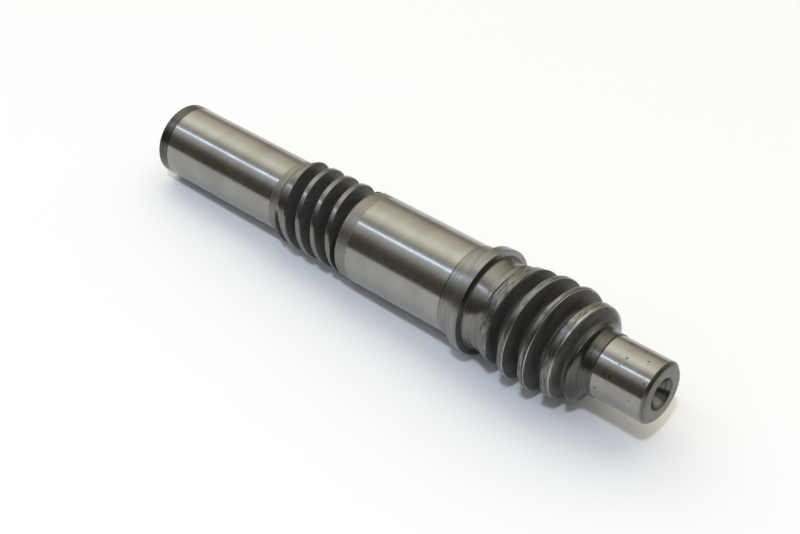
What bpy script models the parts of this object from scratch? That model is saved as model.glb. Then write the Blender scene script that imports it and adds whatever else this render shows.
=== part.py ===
"""One-piece steel worm shaft: two ground journals, a small two-start right-hand worm,
a third ground journal, a thrust collar, a single-start left-hand worm and a centre
hole in each end.

Units are metres, +Z is up. The shaft lies along X with its thin end at +X, and the
origin is in the middle of its length, on its axis.
"""
from math import cos, pi, radians, sin, tan

import bmesh
import bpy

MM = 0.001

# ---------------------------------------------------------------- driving dimensions
LENGTH = 120.0 * MM            # end face to end face

REAR_JOURNAL_D = 15.0 * MM     # ground seat, plain end
MID_JOURNAL_D = 18.0 * MM      # ground seat, between the worms
FRONT_JOURNAL_D = 12.0 * MM    # ground seat, worm end
COLLAR_D = 21.2 * MM           # thrust collar
COLLAR_REAR_D = 20.9 * MM      # the collar's rim is this wide at its rear edge
SHELF_D = 18.3 * MM            # turned shelf behind the collar
BAND_D = 17.8 * MM             # turned band beside the small worm
NECK_FOOT_D = 18.4 * MM        # at the foot of the collar's front face
NECK_D = 17.6 * MM             # narrowest place of the neck
SHOULDER_D = 19.4 * MM         # shoulder between the neck and the main worm
TAPER_D = 19.3 * MM            # small end of the main worm's taper
NOSE_D = 18.8 * MM             # where the nose starts to round off
STUB_D = 12.3 * MM             # unground stub between the nose and the front journal

MAIN_MODULE = 1.5 * MM         # axial module of the main worm
MAIN_STARTS = 1
MAIN_HAND = -1                 # left-hand
MAIN_OD = 21.2 * MM
MAIN_LAND = 1.40 * MM          # width of the flat crest, measured along X

SMALL_MODULE = 1.25 * MM       # axial module of the small worm
SMALL_STARTS = 2
SMALL_HAND = 1                 # right-hand
SMALL_OD = 17.5 * MM
SMALL_LAND = 1.15 * MM

RUN_OUT_D = 13.2 * MM          # annular run-out groove at the front of the small worm
THREAD_DEPTH = 2.2             # whole depth of a thread, in modules
FLANK_ANGLE = radians(20.0)    # each flank, from the radial direction

CENTRE_MOUTH_D = 6.4 * MM      # 60 degree centre hole, both ends
CENTRE_PILOT_D = 3.15 * MM
CENTRE_DEPTH = 6.5 * MM        # face to the tip of the pilot hole

# Stations along the shaft, measured from the rear end face.
REAR_CHAMFER = 0.6 * MM
REAR_JOURNAL_END = 34.0 * MM
SMALL_WORM_START = 35.4 * MM
SMALL_WORM_END = 50.0 * MM
BAND_START = 51.5 * MM
MID_JOURNAL_START = 54.2 * MM
MID_JOURNAL_END = 77.3 * MM
COLLAR_START = 80.5 * MM
COLLAR_FACE = 82.85 * MM
NECK_STATION = 84.4 * MM
SHOULDER_STATION = 87.4 * MM
MAIN_FULL_START = 93.8 * MM
MAIN_TAPER_START = 99.5 * MM
MAIN_TAPER_END = 102.0 * MM
NOSE_START = 104.3 * MM
NOSE_END = 107.7 * MM
FRONT_JOURNAL_START = 109.2 * MM
FRONT_CHAMFER = 0.6 * MM

RELIEF_WIDTH = 0.2 * MM        # narrow grinding reliefs beside the shoulders
RELIEF_DEPTH = 0.15 * MM
RUN_OUT_SLOPE = 0.4 * MM       # length of each sloping side of the run-out groove
FOOT_FILLET = 0.5 * MM         # at the foot of the collar's face
EDGE = 0.15 * MM               # small breaks on turned edges

SMALL_CREST_STATION = 37.7 * MM   # a small-worm crest crosses the +Y side here
MAIN_CREST_STATION = 90.4 * MM    # a main-worm crest crosses the +Y side here
MAIN_GROOVE_START = 85.6 * MM     # the main groove's centre line starts here
MAIN_FADE = 4.2 * MM              # and reaches full depth this much further on
SMALL_FADE = 1.4 * MM             # the same for both grooves of the small worm

SEGMENTS = 60                  # facets round the shaft
STEPS_PER_TURN = 30            # rings per turn of a thread cutter
CLEAR = 1.0 * MM               # how far a cutter stands proud of the surface
REACH = 0.3 * MM               # how far the small grooves reach into the shoulder
FADE_LIFT = 1.15               # lift at the end of a fade, in thread depths

STEEL_COLOUR = (0.42, 0.41, 0.38, 1.0)


# ---------------------------------------------------------------- helpers
def from_rear(station):
    """X of a station measured from the rear end face."""
    return station - LENGTH / 2.0


def ring_point(x, r, angle):
    return (x, r * cos(angle), r * sin(angle))


def arc_points(centre_x, centre_r, radius, start, end, steps):
    """Points on an arc in the half-plane of the profile, angles in degrees."""
    points = []
    for i in range(steps + 1):
        a = radians(start + (end - start) * i / steps)
        points.append((centre_x + radius * cos(a), centre_r + radius * sin(a)))
    return points


def centre_hole(face_x, inward):
    """Outline of a centre hole from its tip to its mouth; inward is +1 or -1 along X."""
    pilot_r = CENTRE_PILOT_D / 2.0
    mouth_r = CENTRE_MOUTH_D / 2.0
    tip_depth = pilot_r * tan(radians(30.0))
    cone_depth = (mouth_r - pilot_r) / tan(radians(30.0))
    return [
        (face_x + inward * CENTRE_DEPTH, 0.0),
        (face_x + inward * (CENTRE_DEPTH - tip_depth), pilot_r),
        (face_x + inward * cone_depth, pilot_r),
        (face_x, mouth_r),
    ]


def relief(station, r_before, r_after):
    """A narrow square groove that starts at a station, cut below the smaller radius."""
    floor = min(r_before, r_after) - RELIEF_DEPTH
    return [
        (from_rear(station), r_before),
        (from_rear(station), floor),
        (from_rear(station + RELIEF_WIDTH), floor),
        (from_rear(station + RELIEF_WIDTH), r_after),
    ]


def eased(station_a, r_a, station_b, r_b, steps):
    """Points after the first on a curve that leaves and arrives parallel to the axis."""
    points = []
    for i in range(1, steps + 1):
        t = i / steps
        x = from_rear(station_a + (station_b - station_a) * t)
        points.append((x, r_a + (r_b - r_a) * t * t * (3.0 - 2.0 * t)))
    return points


# ---------------------------------------------------------------- turned blank
def rear_half_profile():
    """(x, r) points from the rear centre hole to the front face of the collar."""
    rear_r = REAR_JOURNAL_D / 2.0
    small_r = SMALL_OD / 2.0
    run_out_r = RUN_OUT_D / 2.0
    band_r = BAND_D / 2.0
    mid_r = MID_JOURNAL_D / 2.0
    shelf_r = SHELF_D / 2.0
    collar_r = COLLAR_D / 2.0

    points = centre_hole(from_rear(0.0), 1)
    points += [
        (from_rear(0.0), rear_r - REAR_CHAMFER),
        (from_rear(REAR_CHAMFER), rear_r),
        (from_rear(REAR_JOURNAL_END), rear_r),
        (from_rear(SMALL_WORM_START), small_r),
        (from_rear(SMALL_WORM_END), small_r),
        (from_rear(SMALL_WORM_END + RUN_OUT_SLOPE), run_out_r),
        (from_rear(BAND_START - RUN_OUT_SLOPE), run_out_r),
        (from_rear(BAND_START), band_r),
        (from_rear(MID_JOURNAL_START), band_r),
        (from_rear(MID_JOURNAL_START + EDGE), mid_r),
    ]
    points += relief(MID_JOURNAL_END - RELIEF_WIDTH, mid_r, shelf_r)
    points += [
        (from_rear(COLLAR_START), shelf_r),
        (from_rear(COLLAR_START), COLLAR_REAR_D / 2.0 - EDGE),
        (from_rear(COLLAR_START + EDGE), COLLAR_REAR_D / 2.0),
        (from_rear(COLLAR_FACE - EDGE), collar_r),
        (from_rear(COLLAR_FACE), collar_r - EDGE),
    ]
    return points


def front_half_profile():
    """(x, r) points from the neck to the front centre hole."""
    foot_r = NECK_FOOT_D / 2.0
    neck_r = NECK_D / 2.0
    shoulder_r = SHOULDER_D / 2.0
    main_r = MAIN_OD / 2.0
    nose_r = NOSE_D / 2.0
    stub_r = STUB_D / 2.0
    front_r = FRONT_JOURNAL_D / 2.0

    # A fillet from the collar's face, the hollow neck, then a rise to the full thread.
    foot_end = COLLAR_FACE + FOOT_FILLET
    points = arc_points(
        from_rear(foot_end), foot_r + FOOT_FILLET, FOOT_FILLET, 180.0, 270.0, 3
    )
    points += eased(foot_end, foot_r, NECK_STATION, neck_r, 2)
    points += eased(NECK_STATION, neck_r, SHOULDER_STATION, shoulder_r, 5)
    points += eased(SHOULDER_STATION, shoulder_r, MAIN_FULL_START, main_r, 4)
    points += [
        (from_rear(MAIN_TAPER_START), main_r),
        (from_rear(MAIN_TAPER_END), TAPER_D / 2.0),
        (from_rear(NOSE_START), nose_r),
    ]
    points += eased(NOSE_START, nose_r, NOSE_END, stub_r, 6)
    points += relief(FRONT_JOURNAL_START, stub_r, front_r)
    points += [
        (from_rear(LENGTH - FRONT_CHAMFER), front_r),
        (from_rear(LENGTH), front_r - FRONT_CHAMFER),
    ]
    points += reversed(centre_hole(from_rear(LENGTH), -1))
    return points


def build_blank(name):
    mesh = bpy.data.meshes.new(name)
    bm = bmesh.new()
    rings = []
    for x, r in rear_half_profile() + front_half_profile():
        if r == 0.0:
            rings.append([bm.verts.new((x, 0.0, 0.0))])
        else:
            rings.append([
                bm.verts.new(ring_point(x, r, 2.0 * pi * k / SEGMENTS)) for k in range(SEGMENTS)
            ])
    for ring_a, ring_b in zip(rings, rings[1:]):
        for k in range(SEGMENTS):
            nxt = (k + 1) % SEGMENTS
            if len(ring_a) == 1:
                bm.faces.new((ring_a[0], ring_b[nxt], ring_b[k]))
            elif len(ring_b) == 1:
                bm.faces.new((ring_a[k], ring_a[nxt], ring_b[0]))
            else:
                bm.faces.new((ring_a[k], ring_a[nxt], ring_b[nxt], ring_b[k]))
    bmesh.ops.recalc_face_normals(bm, faces=bm.faces)
    bm.to_mesh(mesh)
    bm.free()
    mesh.shade_smooth()
    mesh.set_sharp_from_angle(angle=radians(30.0))
    blank = bpy.data.objects.new(name, mesh)
    bpy.context.scene.collection.objects.link(blank)
    return blank


# ---------------------------------------------------------------- thread cutters
def build_cutter(name, outer_d, module, starts, hand, land, crest_x, start_index,
                 x_from, x_to, fade):
    """A trapezium swept along one thread groove.

    The groove's centre line runs from x_from to x_to. Over the fade length at its rear
    end the trapezium comes down into the bar along a parabola.
    """
    outer_r = outer_d / 2.0
    depth = THREAD_DEPTH * module
    pitch = pi * module
    lead = pitch * starts
    slope = tan(FLANK_ANGLE)
    steps = int((x_to - x_from) / lead * STEPS_PER_TURN) + 1
    half_mouth = (pitch - land) / 2.0
    half_root = half_mouth - depth * slope
    half_top = half_mouth + CLEAR * slope
    groove_x = crest_x + pitch / 2.0 + pitch * start_index

    mesh = bpy.data.meshes.new(name)
    bm = bmesh.new()
    rings = []
    for i in range(steps + 1):
        x = x_from + (x_to - x_from) * i / steps
        angle = hand * 2.0 * pi * (x - groove_x) / lead
        lift = FADE_LIFT * depth * max(0.0, (x_from + fade - x) / fade) ** 2
        root_r = outer_r - depth + lift
        top_r = outer_r + CLEAR + lift
        section = (
            (x - half_root, root_r),
            (x + half_root, root_r),
            (x + half_top, top_r),
            (x - half_top, top_r),
        )
        rings.append([bm.verts.new(ring_point(px, pr, angle)) for px, pr in section])
    for ring_a, ring_b in zip(rings, rings[1:]):
        for k in range(4):
            nxt = (k + 1) % 4
            bm.faces.new((ring_a[k], ring_a[nxt], ring_b[nxt], ring_b[k]))
    bm.faces.new(rings[0])
    bm.faces.new(rings[-1])
    bmesh.ops.triangulate(bm, faces=bm.faces)
    bmesh.ops.recalc_face_normals(bm, faces=bm.faces)
    bm.to_mesh(mesh)
    bm.free()
    cutter = bpy.data.objects.new(name, mesh)
    cutter.display_type = "WIRE"
    cutter.hide_render = True
    bpy.context.scene.collection.objects.link(cutter)
    return cutter


def cut(target, cutter):
    modifier = target.modifiers.new(cutter.name, "BOOLEAN")
    modifier.operation = "DIFFERENCE"
    modifier.solver = "EXACT"
    modifier.object = cutter


# ---------------------------------------------------------------- material
def steel_material(name):
    material = bpy.data.materials.new(name)
    material.use_nodes = True
    shader = material.node_tree.nodes["Principled BSDF"]
    shader.inputs["Base Color"].default_value = STEEL_COLOUR
    shader.inputs["Metallic"].default_value = 1.0
    shader.inputs["Roughness"].default_value = 0.35
    return material


# ---------------------------------------------------------------- the shaft
def main():
    for old in list(bpy.data.objects):
        bpy.data.objects.remove(old, do_unlink=True)

    shaft = build_blank("worm_shaft")
    shaft.data.materials.append(steel_material("steel"))

    # The main worm's groove climbs out into the neck and runs off the open nose.
    cut(shaft, build_cutter(
        "main_thread_cutter", MAIN_OD, MAIN_MODULE, MAIN_STARTS, MAIN_HAND, MAIN_LAND,
        from_rear(MAIN_CREST_STATION), 0,
        from_rear(MAIN_GROOVE_START), from_rear(FRONT_JOURNAL_START), MAIN_FADE,
    ))

    # The small worm's two grooves climb out at the rear and end in the run-out groove.
    for start in range(SMALL_STARTS):
        cut(shaft, build_cutter(
            "small_thread_cutter_%d" % (start + 1), SMALL_OD, SMALL_MODULE, SMALL_STARTS,
            SMALL_HAND, SMALL_LAND, from_rear(SMALL_CREST_STATION), start,
            from_rear(SMALL_WORM_START - REACH), from_rear(SMALL_WORM_END), SMALL_FADE,
        ))


main()
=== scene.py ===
"""Looks for the worm shaft: a fine mesh of the whole shaft, steel finishes and the studio.

Lengths named here are in millimetres, as on a drawing, and become metres through MM.
The shaft lies along X with its thin end at +X. A station is a distance along the
shaft from its rear end face, and an angle runs from +Y towards +Z about the shaft.
"""

from math import atan, cos, pi, radians, sin, tan

import bpy
import numpy as np
from mathutils import Matrix, Vector


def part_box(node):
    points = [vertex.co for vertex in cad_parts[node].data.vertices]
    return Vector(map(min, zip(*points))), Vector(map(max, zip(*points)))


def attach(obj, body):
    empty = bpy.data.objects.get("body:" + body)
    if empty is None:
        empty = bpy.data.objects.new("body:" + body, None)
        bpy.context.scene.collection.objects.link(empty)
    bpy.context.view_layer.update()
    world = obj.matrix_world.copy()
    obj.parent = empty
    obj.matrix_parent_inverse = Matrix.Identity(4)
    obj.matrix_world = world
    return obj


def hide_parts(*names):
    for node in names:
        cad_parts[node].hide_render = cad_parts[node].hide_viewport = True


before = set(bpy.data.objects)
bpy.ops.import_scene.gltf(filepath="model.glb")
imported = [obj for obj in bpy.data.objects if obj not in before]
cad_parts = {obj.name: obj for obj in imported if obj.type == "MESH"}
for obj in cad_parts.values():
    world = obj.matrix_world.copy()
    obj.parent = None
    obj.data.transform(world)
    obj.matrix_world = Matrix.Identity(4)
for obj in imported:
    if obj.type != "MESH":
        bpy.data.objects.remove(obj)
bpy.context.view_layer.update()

MM = 0.001
SEGMENTS = 180                 # columns round the shaft

# The shaft's rear end face is the lowest X of its CAD solid.
REAR_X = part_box("worm_shaft")[0].x
LENGTH = (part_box("worm_shaft")[1].x - REAR_X) / MM

# ---------------------------------------------------------------- turned profile
HOLE_MOUTH_R = 3.2             # 60 degree centre holes
HOLE_PILOT_R = 1.575
HOLE_DEPTH = 6.5
CHAMFER = 0.6
REAR_EDGE = 3.0                # the rear journal is ground from here
REAR_GROUND_END = 32.4         # to here, short of the shoulder
REAR_R = 7.5                   # ground journals
MID_R = 9.0
FRONT_R = 6.0

SMALL_R = 8.75                 # small worm, outside
SMALL_START = 35.4
SMALL_END = 50.0               # rear wall of its run-out groove
BAND_START = 51.5
MID_START = 54.2
COLLAR_LINE = 77.3             # narrow relief between the middle journal and the shelf
COLLAR_START = 80.5
COLLAR_FACE = 82.85
NECK_END = 87.2                # the smooth neck ends and the scratched thread starts
MAIN_R = 10.6                  # collar and main worm, outside
TAPER_START = 99.6
NOSE_START = 104.9
STUB_R = 6.15
FRONT_START = 109.2

# Corners of the turned outline between the end chamfers: station, radius, fillet.
OUTLINE = [
    (CHAMFER, REAR_R, 0.08),
    (REAR_EDGE, REAR_R, 0.05),
    (REAR_GROUND_END, REAR_R, 0.05),
    (34.0, REAR_R, 0.30),
    (SMALL_START, SMALL_R, 0.30),
    (SMALL_END, SMALL_R, 0.15),
    (SMALL_END + 0.35, 6.60, 0.25),
    (BAND_START - 0.30, 6.60, 0.25),
    (BAND_START, 8.90, 0.12),
    (MID_START, 8.90, 0.03),
    (MID_START + 0.10, MID_R, 0.03),
    (COLLAR_LINE - 0.02, MID_R, 0.03),
    (COLLAR_LINE + 0.01, 8.86, 0.02),
    (COLLAR_LINE + 0.12, 8.86, 0.02),
    (COLLAR_LINE + 0.15, 9.12, 0.05),
    (COLLAR_START - 0.05, 9.16, 0.20),
    (COLLAR_START, 10.44, 0.12),
    (COLLAR_FACE - 0.10, MAIN_R, 0.22),
    (COLLAR_FACE, 9.10, 0.55),
    (84.10, 8.85, 3.00),
    (85.70, 8.95, 5.00),
    (86.70, 9.28, 4.00),
    (87.90, 9.70, 2.40),
    (89.60, 9.95, 3.00),
    (92.60, 10.50, 3.00),
    (93.80, MAIN_R, 2.00),
    (TAPER_START, MAIN_R, 1.20),
    (101.9, 9.65, 1.20),
    (NOSE_START, 9.40, 1.50),
    (106.9, STUB_R, 1.40),
    (FRONT_START - 0.08, STUB_R, 0.05),
    (FRONT_START + 0.02, FRONT_R, 0.05),
    (LENGTH - CHAMFER, FRONT_R, 0.08),
]


# ---------------------------------------------------------------- threads
FLANK_SLOPE = tan(radians(20.0))   # each flank leans this much from the radial direction
THREAD_DEPTH = 2.2             # whole depth of a thread, in modules
ROOT_BLEND = 0.5               # radial height over which a flank rounds into its root
FADE_LIFT = 1.15               # a groove's lift where it starts, in thread depths
CORNER_BLEND = 2.2             # radial height of a land's rounding, in corner radii


class Worm:
    """One helical thread: its groove section and where it starts and stops."""

    def __init__(self, module, starts, hand, land, outer_r, crest, span, cut_end, fade, rounding):
        self.pitch = pi * module
        self.rise = hand * starts * self.pitch      # axial travel in one turn
        self.starts = starts
        self.hand = hand
        self.half_mouth = (self.pitch - land) / 2.0
        self.depth = THREAD_DEPTH * module
        self.half_root = self.half_mouth - self.depth * FLANK_SLOPE
        self.outer_r = outer_r
        self.crest = crest                          # a crest crosses the +Y side here
        self.span = span                            # first and last station of its rows
        self.cut_end = cut_end                      # no groove from this station on
        self.fade = fade                            # stations between which it deepens
        self.rounding = rounding                    # of a land's rear and front corner


MAIN = Worm(
    module=1.5, starts=1, hand=-1, land=1.40, outer_r=MAIN_R, crest=90.40,
    span=(83.5, 106.6), cut_end=107.5, fade=(85.6, 89.8), rounding=(0.50, 0.20),
)
SMALL = Worm(
    module=1.25, starts=2, hand=1, land=1.15, outer_r=SMALL_R, crest=37.70,
    span=(34.3, SMALL_END), cut_end=BAND_START, fade=(35.1, 36.6), rounding=(0.25, 0.20),
)
SMALL_CLOSE = 6.0              # rise of the small grooves 1 mm into their run-out groove


def filleted(corners):
    """The outline as plain points, with a curve at each inner corner."""
    points = [corners[0][:2]]
    for before, corner, after in zip(corners, corners[1:], corners[2:]):
        p = Vector(corner[:2])
        to_before = Vector(before[:2]) - p
        to_after = Vector(after[:2]) - p
        turn = pi - to_before.angle(to_after)
        longest = 0.45 * min(to_before.length, to_after.length)
        reach = min(corner[2] * tan(turn / 2.0), longest)
        start = p + to_before.normalized() * reach
        end = p + to_after.normalized() * reach
        steps = 2 + int(turn / radians(12.0))
        for i in range(steps + 1):
            t = i / steps
            point = start * (1 - t) ** 2 + p * 2 * t * (1 - t) + end * t ** 2
            points.append(tuple(point))
    points.append(corners[-1][:2])
    return points


OUTLINE_POINTS = np.array(filleted(OUTLINE))


def blank_radius(station):
    return np.interp(station, OUTLINE_POINTS[:, 0], OUTLINE_POINTS[:, 1])


def soft_min(a, b, width):
    """The smaller of a and b, rounded over where they cross."""
    overlap = np.maximum(width - np.abs(a - b), 0.0) / width
    return np.minimum(a, b) - overlap * overlap * width / 4.0


def soft_max(a, b, width):
    return -soft_min(-a, -b, width)


def groove_radius(worm, station, angle):
    """Radius of a thread's groove walls and root, far outside the bar on the lands."""
    along = station - worm.crest - worm.rise * angle / (2.0 * pi) + worm.pitch / 2.0
    along = along - worm.pitch * np.round(along / worm.pitch)
    root = worm.outer_r - worm.depth
    wall = root + (np.abs(along) - worm.half_root) / FLANK_SLOPE
    radius = soft_max(wall, root, ROOT_BLEND)
    fade_from, fade_to = worm.fade
    centre = station - along
    to_go = np.clip((fade_to - centre) / (fade_to - fade_from), 0.0, 3.0)
    return radius + FADE_LIFT * worm.depth * to_go ** 2, along


def shaft_radius(station, angle):
    """Radius of the finished surface: the turned blank less the thread grooves."""
    blank = blank_radius(station)
    radius = blank
    for worm in (MAIN, SMALL):
        inside = (station > worm.span[0]) & (station < worm.cut_end)
        groove, along = groove_radius(worm, station, angle)
        corner = np.where(along > 0.0, worm.rounding[0], worm.rounding[1])
        if worm is SMALL:
            groove = groove + SMALL_CLOSE * np.clip(station - SMALL_END, 0.0, 1.0) ** 2
        cut = np.minimum(radius, soft_min(blank, groove, CORNER_BLEND * corner))
        radius = np.where(inside, cut, radius)
    return radius


# ---------------------------------------------------------------- mesh of the shaft
EDGE_WIDTH = 0.13              # painted highlight: a bright strip along a land's front corner
DARK_LINE_CREST = 2              # this crest of the main worm has a dark line painted behind its edge
DARK_LINE_AT = (0.18, 0.42)      # the line's edges, measured back from the land's corner
SAME_PLACE = 0.004             # rows closer together than this are one row
LONG_GAP = 0.5                 # a longer plain stretch gets a support row at each end
SUPPORT = 0.08                 # how far a support row stays from the end of its stretch
WIDEST = 2.0                   # widest gap between rows on a plain stretch
SNAP = 0.03                    # a spiral row this close to an end ring joins the ring


def plain_rows(first, last):
    """Stations of round rows: every outline point, closed up by support rows."""
    inner = [s for s in OUTLINE_POINTS[:, 0] if first + 0.01 < s < last - 0.01]
    rows = [first]
    for s in inner + [last]:
        gap = s - rows[-1]
        if gap < SAME_PLACE:
            continue
        if gap > LONG_GAP:
            rows.append(rows[-1] + SUPPORT)
            count = int(gap / WIDEST)
            middle = gap - 2.0 * SUPPORT
            rows += [rows[-1] + middle * i / (count + 1) for i in range(1, count + 1)]
            rows.append(s - SUPPORT)
        rows.append(s)
    return rows


def thread_offsets(worm):
    """Places of the spiral rows within one pitch, measured from the groove's centre."""
    mouth, root = worm.half_mouth, worm.half_root
    rear = worm.rounding[0]
    half = worm.pitch / 2.0
    offsets = [-half]
    offsets += [-mouth - t for t in (0.50, DARK_LINE_AT[1], DARK_LINE_AT[0], EDGE_WIDTH, 0.05)]
    offsets += [-mouth + t for t in (0.03, EDGE_WIDTH)]
    offsets += [-mouth + (mouth - root) * t for t in (0.3, 0.52, 0.72)]
    offsets += [-root - 0.12, -root, -root + 0.12, 0.0, root - 0.12, root, root + 0.12]
    offsets += [mouth - (mouth - root) * t for t in (0.72, 0.52, 0.3)]
    offsets += [mouth - rear * t for t in (0.35, 0.12)]
    offsets += [mouth + rear * t for t in (0.1, 0.4, 0.8, 1.2)]
    return sorted(o for o in offsets if -half <= o < half - 0.02)


class ShaftMesh:
    """Collects rings of vertices and the faces between them."""

    def __init__(self):
        self.places = []       # (station, radius, angle)
        self.faces = []

    def ring(self, station, radius=None):
        start = len(self.places)
        angles = 2.0 * pi * np.arange(SEGMENTS) / SEGMENTS
        if radius is None:
            radii = shaft_radius(np.full(SEGMENTS, station), angles)
        else:
            radii = np.full(SEGMENTS, radius)
        self.places += [(station, r, a) for r, a in zip(radii, angles)]
        return list(range(start, start + SEGMENTS))

    def point(self, station):
        self.places.append((station, 0.0, 0.0))
        return len(self.places) - 1

    def face(self, corners):
        kept = []
        for corner in corners:
            if corner not in kept:
                kept.append(corner)
        if len(kept) >= 3:
            self.faces.append(kept)

    def bridge(self, rear, front):
        """Faces between two rings; either may be a single point."""
        for k in range(SEGMENTS):
            n = (k + 1) % SEGMENTS
            a, b = (rear, rear) if isinstance(rear, int) else (rear[k], rear[n])
            c, d = (front, front) if isinstance(front, int) else (front[n], front[k])
            self.face((a, b, c, d))

    def spiral(self, worm, rear_ring, first, last):
        """Rows that follow a thread, from rear_ring up to a new ring at the last station."""
        front_ring = self.ring(last)
        offsets = thread_offsets(worm)
        rise_steps = worm.starts * len(offsets) * worm.hand
        low = int((first - last) / worm.pitch) - 3
        base = []
        for turn in range(low, -low + 1):
            groove = worm.crest + worm.pitch * (turn + 0.5)
            base += [groove + o for o in offsets]
        columns = []
        for k in range(SEGMENTS):
            angle = 2.0 * pi * k / SEGMENTS
            stations = np.array(base) + worm.rise * k / SEGMENTS
            radii = shaft_radius(stations, np.full(len(stations), angle))
            column = []
            for s, r in zip(stations, radii):
                if s <= first + SNAP:
                    column.append(rear_ring[k])
                elif s >= last - SNAP:
                    column.append(front_ring[k])
                else:
                    self.places.append((s, r, angle))
                    column.append(len(self.places) - 1)
            columns.append(column)
        for k in range(SEGMENTS):
            here = columns[k]
            if k + 1 < SEGMENTS:
                there = columns[k + 1]
            else:
                top = len(base) - 1
                there = [columns[0][min(max(i + rise_steps, 0), top)] for i in range(len(base))]
            for i in range(len(base) - 1):
                self.face((here[i], there[i], there[i + 1], here[i + 1]))
        return front_ring


def centre_hole_rings(mesh, face, inward):
    """Rings of a centre hole from its tip to the chamfer, going out.

    Each corner is two to four rings close together, which round it off a little.
    """
    cone = (HOLE_MOUTH_R - HOLE_PILOT_R) / tan(radians(30.0))
    tip = HOLE_PILOT_R * tan(radians(30.0))
    outer = (REAR_R if inward > 0 else FRONT_R) - CHAMFER
    section = [
        (HOLE_DEPTH - tip - 0.08, HOLE_PILOT_R - 0.06),
        (HOLE_DEPTH - tip - 0.2, HOLE_PILOT_R),
        (cone + 0.12, HOLE_PILOT_R),
        (cone + 0.02, HOLE_PILOT_R + 0.02),
        (cone - 0.10, HOLE_PILOT_R + 0.09),
        (0.16, HOLE_MOUTH_R - 0.09),
        (0.05, HOLE_MOUTH_R - 0.01),
        (0.01, HOLE_MOUTH_R + 0.05),
        (0.0, HOLE_MOUTH_R + 0.13),
        (0.0, outer - 0.10),
        (0.01, outer - 0.03),
        (0.05, outer + 0.03),
        (0.12, outer + 0.11),
        (CHAMFER - 0.07, outer + CHAMFER - 0.07),
    ]
    rings = [mesh.point(face + inward * HOLE_DEPTH)]
    rings += [mesh.ring(face + inward * depth, r) for depth, r in section]
    return rings


def build_shaft():
    mesh = ShaftMesh()
    rings = centre_hole_rings(mesh, 0.0, 1)
    rings += [mesh.ring(s) for s in plain_rows(CHAMFER, SMALL.span[0])]
    for a, b in zip(rings, rings[1:]):
        mesh.bridge(a, b)
    ring = mesh.spiral(SMALL, rings[-1], *SMALL.span)
    rings = [ring] + [mesh.ring(s) for s in plain_rows(SMALL_END, MAIN.span[0])[1:]]
    for a, b in zip(rings, rings[1:]):
        mesh.bridge(a, b)
    ring = mesh.spiral(MAIN, rings[-1], *MAIN.span)
    rings = [ring] + [mesh.ring(s) for s in plain_rows(MAIN.span[1], LENGTH - CHAMFER)[1:]]
    rings += reversed(centre_hole_rings(mesh, LENGTH, -1))
    for a, b in zip(rings, rings[1:]):
        mesh.bridge(a, b)

    places = np.array(mesh.places)
    station, radius, angle = places[:, 0], places[:, 1], places[:, 2]
    co = np.stack([
        REAR_X + station * MM, radius * np.cos(angle) * MM, radius * np.sin(angle) * MM,
    ], axis=1)
    data = bpy.data.meshes.new("worm_shaft_skin")
    data.from_pydata(co.tolist(), [], [f[::-1] for f in mesh.faces])
    data.validate()
    data.update()
    shaft = bpy.data.objects.new("worm_shaft_skin", data)
    bpy.context.scene.collection.objects.link(shaft)
    paint_faces(shaft, station, radius, angle)
    data.shade_smooth()
    return shaft


# ---------------------------------------------------------------- finishes
(GROUND, STAINED, TURNED, SMOOTH, LAND, EDGE,
 FLANK, NOSE, FACE, HOLE, DULL, LINE) = range(12)
FLANK_DEPTH = (0.55, 0.16)     # how deep a flank starts below a land's rear and front corner
FLAT = 0.05                    # margin between an end face and its hole or chamfer
LINE_MIDDLE = COLLAR_LINE + 0.06   # painted shade: a dark line in the narrow relief groove
LINE_HALF = 0.08
FACE_BAND = (COLLAR_FACE - 0.05, COLLAR_FACE + 0.20)   # the collar's front face, painted dark for its shade and black reflection
NOSE_TAIL = 1.6                # the last thread ridge reaches this far past NOSE_START


def thread_finish(worm, station, angle, depth):
    """A worm's land, its front edge with a painted highlight, or its flank painted dark as shade
    in the groove.
    """
    _, along = groove_radius(worm, station, angle)
    # a flank is painted dark: painted shade in the groove
    if depth > (FLANK_DEPTH[0] if along > 0.0 else FLANK_DEPTH[1]):
        return FLANK
    if worm is SMALL:
        return SMOOTH
    if station < MAIN.crest:
        return LAND
    behind_edge = -along - worm.half_mouth
    crest = round((station - worm.crest - worm.rise * angle / (2.0 * pi)) / worm.pitch)
    # painted highlight: a bright strip along the land's front corner
    if abs(behind_edge) < EDGE_WIDTH:
        return EDGE
    if crest == DARK_LINE_CREST and DARK_LINE_AT[0] < behind_edge < DARK_LINE_AT[1]:
        return LINE
    return LAND


def finish_at(station, radius, angle, depth):
    """The finish at a place on the surface."""
    end_r = REAR_R if station < LENGTH / 2.0 else FRONT_R
    if station < CHAMFER or station > LENGTH - CHAMFER or radius < HOLE_MOUTH_R:
        if radius < HOLE_MOUTH_R + FLAT:
            return HOLE
        return FACE if radius < end_r - FLAT else DULL
    # painted shade in the narrow relief groove
    if abs(station - LINE_MIDDLE) < LINE_HALF:
        return LINE
    # painted reflection: the band at the rear end is painted dark for the dark reflection of its
    # rounded edge
    if station < REAR_EDGE:
        return NOSE
    if station < REAR_GROUND_END or MID_START + 0.1 < station < COLLAR_LINE:
        return GROUND
    if station > FRONT_START + 0.02:
        return STAINED
    if station < SMALL.span[0]:
        return DULL
    if station < SMALL_END:
        return thread_finish(SMALL, station, angle, depth)
    # the run-out groove is painted dark: painted shade
    if station < BAND_START:
        return FLANK
    if station <= MID_START + 0.1:
        return DULL
    # painted shade and dark reflection: the collar's front face gets the dark flank finish
    if FACE_BAND[0] < station < FACE_BAND[1]:
        return FLANK
    if FACE_BAND[1] < station < NECK_END:
        return SMOOTH
    if MAIN.span[0] < station < NOSE_START + NOSE_TAIL:
        finish = thread_finish(MAIN, station, angle, depth)
        return NOSE if station > NOSE_START and finish == LAND else finish
    return NOSE if station > MAIN.span[0] else TURNED


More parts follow.
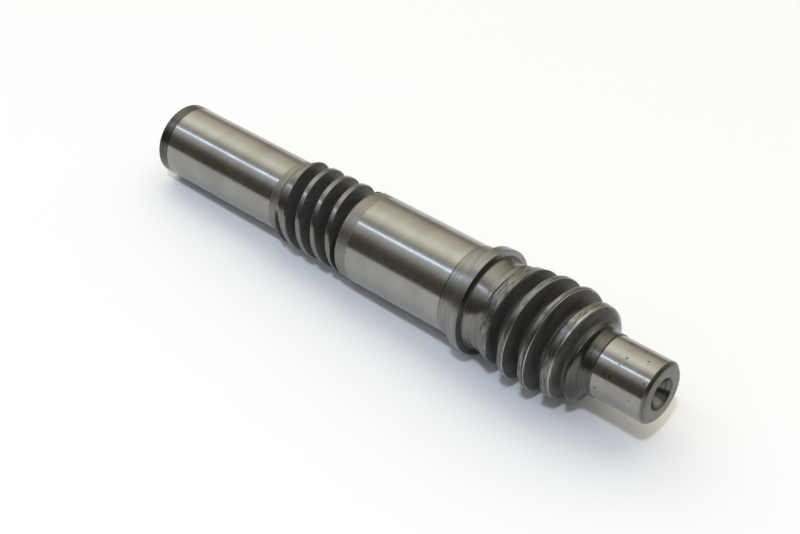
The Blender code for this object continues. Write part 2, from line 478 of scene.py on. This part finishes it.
def paint_faces(shaft, station, radius, angle):
    """Gives each face its finish, from its middle and its depth below the turned blank."""
    data = shaft.data
    for build in (ground_steel, stained_steel, turned_steel, smooth_steel, land_steel, edge_highlight_steel,
                  flank_shade_steel, nose_steel, face_steel, hole_steel, dull_steel, line_steel):
        data.materials.append(build())
    for face in data.polygons:
        corners = list(face.vertices)
        turns = angle[corners]
        if turns.max() - turns.min() > pi:
            turns = np.where(turns > pi, turns - 2.0 * pi, turns)
        s, r = station[corners].mean(), radius[corners].mean()
        face.material_index = finish_at(s, r, turns.mean(), blank_radius(s) - r)


def new_material(name, colour, roughness, anisotropic=0.0):
    material = bpy.data.materials.new(name)
    material.use_nodes = True
    nodes, links = material.node_tree.nodes, material.node_tree.links
    shader = nodes["Principled BSDF"]
    shader.inputs["Metallic"].default_value = 1.0
    shader.inputs["Base Color"].default_value = (*colour, 1.0)
    shader.inputs["Roughness"].default_value = roughness
    shader.inputs["Anisotropic"].default_value = anisotropic
    shader.inputs["Anisotropic Rotation"].default_value = 0.25
    return material, nodes, links, shader


def add_noise(nodes, links, scale, size, detail=3.0):
    """Noise stretched along the axes, from the object's own coordinates."""
    coords = nodes.new("ShaderNodeTexCoord")
    mapping = nodes.new("ShaderNodeMapping")
    mapping.inputs["Scale"].default_value = scale
    links.new(coords.outputs["Object"], mapping.inputs["Vector"])
    noise = nodes.new("ShaderNodeTexNoise")
    noise.inputs["Scale"].default_value = size
    noise.inputs["Detail"].default_value = detail
    links.new(mapping.outputs["Vector"], noise.inputs["Vector"])
    return noise.outputs["Fac"]


def add_range(nodes, links, source, low, high):
    """Maps a noise's usual spread to a range of values."""
    node = nodes.new("ShaderNodeMapRange")
    node.inputs["From Min"].default_value = 0.3
    node.inputs["From Max"].default_value = 0.7
    node.inputs["To Min"].default_value = low
    node.inputs["To Max"].default_value = high
    links.new(source, node.inputs["Value"])
    return node.outputs["Result"]


def add_colour(nodes, links, source, dark, light):
    """Turns a noise into a colour between the dark and the light one."""
    ramp = nodes.new("ShaderNodeValToRGB")
    ramp.color_ramp.elements[0].position = 0.32
    ramp.color_ramp.elements[0].color = (*dark, 1.0)
    ramp.color_ramp.elements[1].position = 0.68
    ramp.color_ramp.elements[1].color = (*light, 1.0)
    links.new(source, ramp.inputs["Fac"])
    return ramp.outputs["Color"]


def add_bump(nodes, links, shader, source, height):
    """Makes a noise stand out from the surface by a height in metres."""
    bump = nodes.new("ShaderNodeBump")
    bump.inputs["Strength"].default_value = 1.0
    bump.inputs["Distance"].default_value = height
    links.new(source, bump.inputs["Height"])
    links.new(bump.outputs["Normal"], shader.inputs["Normal"])


def round_tangent(nodes, links, shader):
    """Points the anisotropy round the shaft, along the grinding marks."""
    tangent = nodes.new("ShaderNodeTangent")
    tangent.direction_type = "RADIAL"
    tangent.axis = "X"
    links.new(tangent.outputs["Tangent"], shader.inputs["Tangent"])


def ground_look(name, stained):
    """Ground steel, with small brown stains if it is stained."""
    material, nodes, links, shader = new_material(name, (0.29, 0.285, 0.267), 0.19, 0.6)
    round_tangent(nodes, links, shader)
    lines = add_noise(nodes, links, (1.0, 0.02, 0.02), 6000.0, 4.0)
    cloud = add_noise(nodes, links, (1.0, 0.5, 0.5), 180.0)
    links.new(add_range(nodes, links, lines, 0.14, 0.25), shader.inputs["Roughness"])
    colour = add_colour(nodes, links, cloud, (0.265, 0.256, 0.238), (0.32, 0.315, 0.297))
    if stained:
        spots = add_noise(nodes, links, (1.0, 1.0, 1.0), 900.0, 2.0)
        cover = nodes.new("ShaderNodeMapRange")
        cover.inputs["From Min"].default_value = 0.66
        cover.inputs["From Max"].default_value = 0.73
        links.new(spots, cover.inputs["Value"])
        mix = nodes.new("ShaderNodeMix")
        mix.data_type = "RGBA"
        links.new(cover.outputs["Result"], mix.inputs["Factor"])
        links.new(colour, mix.inputs["A"])
        mix.inputs["B"].default_value = (0.10, 0.065, 0.05, 1.0)
        colour = mix.outputs["Result"]
    links.new(colour, shader.inputs["Base Color"])
    add_bump(nodes, links, shader, lines, 0.0000008)
    return material


def ground_steel():
    return ground_look("ground_steel", False)


def stained_steel():
    return ground_look("stained_steel", True)


def turned_look(name, dark, light, rough, lines_size, height, run=0.05):
    """Steel with visible tool marks round it: streaks in colour, gloss and height.

    A smaller run makes the streaks longer round the shaft.
    """
    material, nodes, links, shader = new_material(name, light, sum(rough) / 2.0, 0.4)
    round_tangent(nodes, links, shader)
    lines = add_noise(nodes, links, (1.0, run, run), lines_size, 5.0)
    cloud = add_noise(nodes, links, (1.0, 0.5, 0.5), 600.0)
    links.new(add_range(nodes, links, cloud, *rough), shader.inputs["Roughness"])
    colour = add_colour(nodes, links, lines, dark, light)
    links.new(colour, shader.inputs["Base Color"])
    add_bump(nodes, links, shader, lines, height)
    return material


def turned_steel():
    return turned_look("turned_steel", (0.18, 0.178, 0.168), (0.27, 0.265, 0.25),
                       (0.27, 0.33), 3500.0, 0.000008)


def smooth_steel():
    return turned_look("smooth_steel", (0.16, 0.158, 0.15), (0.22, 0.216, 0.204),
                       (0.20, 0.26), 2000.0, 0.000003)


def land_steel():
    return turned_look("land_steel", (0.05, 0.048, 0.042), (0.27, 0.265, 0.25),
                       (0.28, 0.42), 4500.0, 0.000022, run=0.12)


# Painted highlight: lighter than the lands, laid along each land's front corner.
def edge_highlight_steel():
    return turned_look("edge_highlight_steel", (0.24, 0.237, 0.225), (0.42, 0.415, 0.395),
                       (0.28, 0.36), 3000.0, 0.000004)


def flank_shade_steel():
    """Painted shade: thread flanks, the run-out groove and the collar's front face are painted
    dark for the shade and dark reflection they show, so only part of their look is metallic.
    """
    material = turned_look("flank_shade_steel", (0.048, 0.046, 0.040), (0.088, 0.084, 0.074),
                           (0.42, 0.52), 2200.0, 0.000006)
    shader = material.node_tree.nodes["Principled BSDF"]
    shader.inputs["Metallic"].default_value = 0.5
    return material


def nose_steel():
    """Dark unground steel: the nose; also the band at the rear journal's end, painted dark for
    the dark reflection of its rounded edge.
    """
    return turned_look("nose_steel", (0.055, 0.052, 0.046), (0.13, 0.126, 0.115),
                       (0.24, 0.32), 2600.0, 0.000008)


def face_steel():
    return turned_look("face_steel", (0.11, 0.106, 0.097), (0.22, 0.215, 0.20),
                       (0.30, 0.42), 1500.0, 0.000008)


# Darker than the end face: painted shade inside the centre holes.
def hole_steel():
    return turned_look("hole_steel", (0.07, 0.066, 0.058), (0.20, 0.195, 0.18),
                       (0.20, 0.32), 2000.0, 0.000010)


def dull_steel():
    return turned_look("dull_steel", (0.20, 0.19, 0.17), (0.26, 0.25, 0.225),
                       (0.38, 0.46), 4000.0, 0.000006)


# Near-black: painted shade in the collar's narrow relief, and the dark line behind one crest's
# edge.
def line_steel():
    return turned_look("line_steel", (0.05, 0.045, 0.04), (0.09, 0.08, 0.07),
                       (0.45, 0.55), 3000.0, 0.000004)


# ---------------------------------------------------------------- studio
CONTACT_FRONT = (82.3, MAIN_R)     # the shaft lies on the collar's rim
CONTACT_REAR = (CHAMFER, REAR_R)   # and on the end of the rear journal
CONTACT_GAP = 0.03
FLOOR_SIZE = 3.0                   # metres


def build_floor():
    """A pale table top under the shaft, tilted as the stepped shaft leans on it."""
    lean = atan((CONTACT_FRONT[1] - CONTACT_REAR[1]) / (CONTACT_FRONT[0] - CONTACT_REAR[0]))
    half = FLOOR_SIZE / 2.0
    data = bpy.data.meshes.new("floor")
    data.from_pydata([(-half, -half, 0), (half, -half, 0), (half, half, 0), (-half, half, 0)],
                     [], [(0, 1, 2, 3)])
    floor = bpy.data.objects.new("floor", data)
    bpy.context.scene.collection.objects.link(floor)
    floor.rotation_euler = (0.0, lean, 0.0)
    contact = Vector((REAR_X + CONTACT_FRONT[0] * MM, 0.0, -CONTACT_FRONT[1] * MM))
    floor.location = contact - Vector((0.0, 0.0, CONTACT_GAP * MM))
    material = bpy.data.materials.new("floor")
    material.use_nodes = True
    shader = material.node_tree.nodes["Principled BSDF"]
    shader.inputs["Base Color"].default_value = (0.86, 0.838, 0.818, 1.0)
    shader.inputs["Roughness"].default_value = 0.6
    data.materials.append(material)


def look_along(obj, location, target, up):
    """Puts an object at a place with its -Z towards the target."""
    forward = (Vector(target) - Vector(location)).normalized()
    right = forward.cross(Vector(up)).normalized()
    matrix = Matrix((right, right.cross(forward), -forward)).transposed().to_4x4()
    matrix.translation = Vector(location)
    obj.matrix_world = matrix


CAMERA_PLACE = (0.16587, -0.17746, 0.19725)    # metres
CAMERA_AIM = (0.00583, -0.00615, 0.00357)
CAMERA_UP = (0.0399, 0.0, 0.9992)
CAMERA_LENS = 74.25                            # on a sensor 36 wide


def build_camera():
    """The camera, placed and aimed as in the photo."""
    data = bpy.data.cameras.new("camera")
    data.sensor_fit = "HORIZONTAL"
    data.sensor_width = 36.0
    data.lens = CAMERA_LENS
    data.clip_start = 0.01
    camera = bpy.data.objects.new("camera", data)
    bpy.context.scene.collection.objects.link(camera)
    look_along(camera, CAMERA_PLACE, CAMERA_AIM, CAMERA_UP)
    bpy.context.scene.camera = camera


def panel(name, angle, distance, along, size, colour, radiance, shiny=True):
    """An area light facing the shaft, at an angle round it and a place along it."""
    a = radians(angle)
    location = Vector((along, distance * cos(a), distance * sin(a)))
    data = bpy.data.lights.new(name, "AREA")
    data.shape = "RECTANGLE"
    data.size, data.size_y = size
    data.color = colour
    data.energy = radiance * pi * size[0] * size[1]
    light = bpy.data.objects.new(name, data)
    bpy.context.scene.collection.objects.link(light)
    forward = -Vector((0.0, cos(a), sin(a)))
    right = Vector((1.0, 0.0, 0.0))
    matrix = Matrix((right, right.cross(forward), -forward)).transposed().to_4x4()
    matrix.translation = location
    light.matrix_world = matrix
    light.visible_glossy = shiny


# What the room looks like from the shaft: angle from +Y towards +Z, brightness, tint.
ROOM = [
    (-12.0, 0.16, (1.00, 0.92, 0.76)),
    (12.0, 0.46, (1.00, 0.92, 0.76)),
    (32.0, 1.04, (1.00, 0.93, 0.78)),
    (52.0, 1.37, (1.00, 0.97, 0.84)),
    (70.0, 1.78, (1.00, 0.99, 0.88)),
    (80.0, 1.73, (1.00, 0.99, 0.89)),
    (92.0, 1.09, (1.00, 0.98, 0.88)),
    (101.0, 0.58, (1.00, 0.98, 0.92)),
    (112.0, 1.00, (0.90, 0.96, 1.00)),
    (121.0, 1.02, (0.92, 0.97, 1.00)),
    (132.0, 0.60, (1.00, 0.99, 0.94)),
    (141.0, 0.26, (1.00, 0.94, 0.82)),
    (152.0, 0.15, (1.00, 0.86, 0.70)),
    (190.0, 0.10, (1.00, 0.90, 0.76)),
]
DARK_END = (0.35, 0.80, 0.12)      # towards +X the room darkens: from, to, what is left
BACKDROP = (0.85, 0.86, 0.87)      # what the camera sees past the table top


def build_room():
    """Soft light from the room, as bands round the shaft's axis."""
    world = bpy.data.worlds.new("room")
    world.use_nodes = True
    nodes, links = world.node_tree.nodes, world.node_tree.links
    coords = nodes.new("ShaderNodeTexCoord")
    axes = nodes.new("ShaderNodeSeparateXYZ")
    links.new(coords.outputs["Generated"], axes.inputs["Vector"])
    angle = nodes.new("ShaderNodeMath")
    angle.operation = "ARCTAN2"
    links.new(axes.outputs["Z"], angle.inputs[0])
    links.new(axes.outputs["Y"], angle.inputs[1])
    place = nodes.new("ShaderNodeMapRange")
    first, last = ROOM[0][0], ROOM[-1][0]
    place.inputs["From Min"].default_value = radians(first)
    place.inputs["From Max"].default_value = radians(last)
    links.new(angle.outputs["Value"], place.inputs["Value"])
    ramp = nodes.new("ShaderNodeValToRGB")
    stops = ramp.color_ramp.elements
    stops.remove(stops[1])
    for i, (degrees_round, bright, tint) in enumerate(ROOM):
        at = (degrees_round - first) / (last - first)
        stop = stops.new(at) if i else stops[0]
        stop.position = at
        stop.color = (*[bright * t for t in tint], 1.0)
    links.new(place.outputs["Result"], ramp.inputs["Fac"])
    background = nodes["Background"]
    links.new(ramp.outputs["Color"], background.inputs["Color"])
    dim = nodes.new("ShaderNodeMapRange")
    dim.interpolation_type = "SMOOTHSTEP"
    dim.inputs["From Min"].default_value = DARK_END[0]
    dim.inputs["From Max"].default_value = DARK_END[1]
    dim.inputs["To Min"].default_value = 1.0
    dim.inputs["To Max"].default_value = DARK_END[2]
    links.new(axes.outputs["X"], dim.inputs["Value"])
    links.new(dim.outputs["Result"], background.inputs["Strength"])
    backdrop = nodes.new("ShaderNodeBackground")
    backdrop.inputs["Color"].default_value = (*BACKDROP, 1.0)
    path = nodes.new("ShaderNodeLightPath")
    mix = nodes.new("ShaderNodeMixShader")
    links.new(path.outputs["Is Camera Ray"], mix.inputs["Fac"])
    links.new(background.outputs["Background"], mix.inputs[1])
    links.new(backdrop.outputs["Background"], mix.inputs[2])
    links.new(mix.outputs["Shader"], nodes["World Output"].inputs["Surface"])
    bpy.context.scene.world = world


def build_lights():
    """The room, the tube seen as a bright line, a lamp for sharp shadows and a cool window."""
    build_room()
    panel("strip", 113.0, 1.0, -0.6, (1.6, 0.07), (0.62, 0.78, 1.0), 4.2)
    panel("lamp", 114.0, 1.6, 0.43, (0.12, 0.12), (0.72, 0.82, 1.0), 225.0, shiny=False)
    panel("window_light", 155.0, 1.5, -0.9, (1.6, 1.0), (0.44, 0.64, 1.0), 0.80, shiny=False)
    bpy.context.scene.view_settings.view_transform = "Standard"


shaft = build_shaft()
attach(shaft, "root")
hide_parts("worm_shaft")
build_floor()
build_camera()
build_lights()
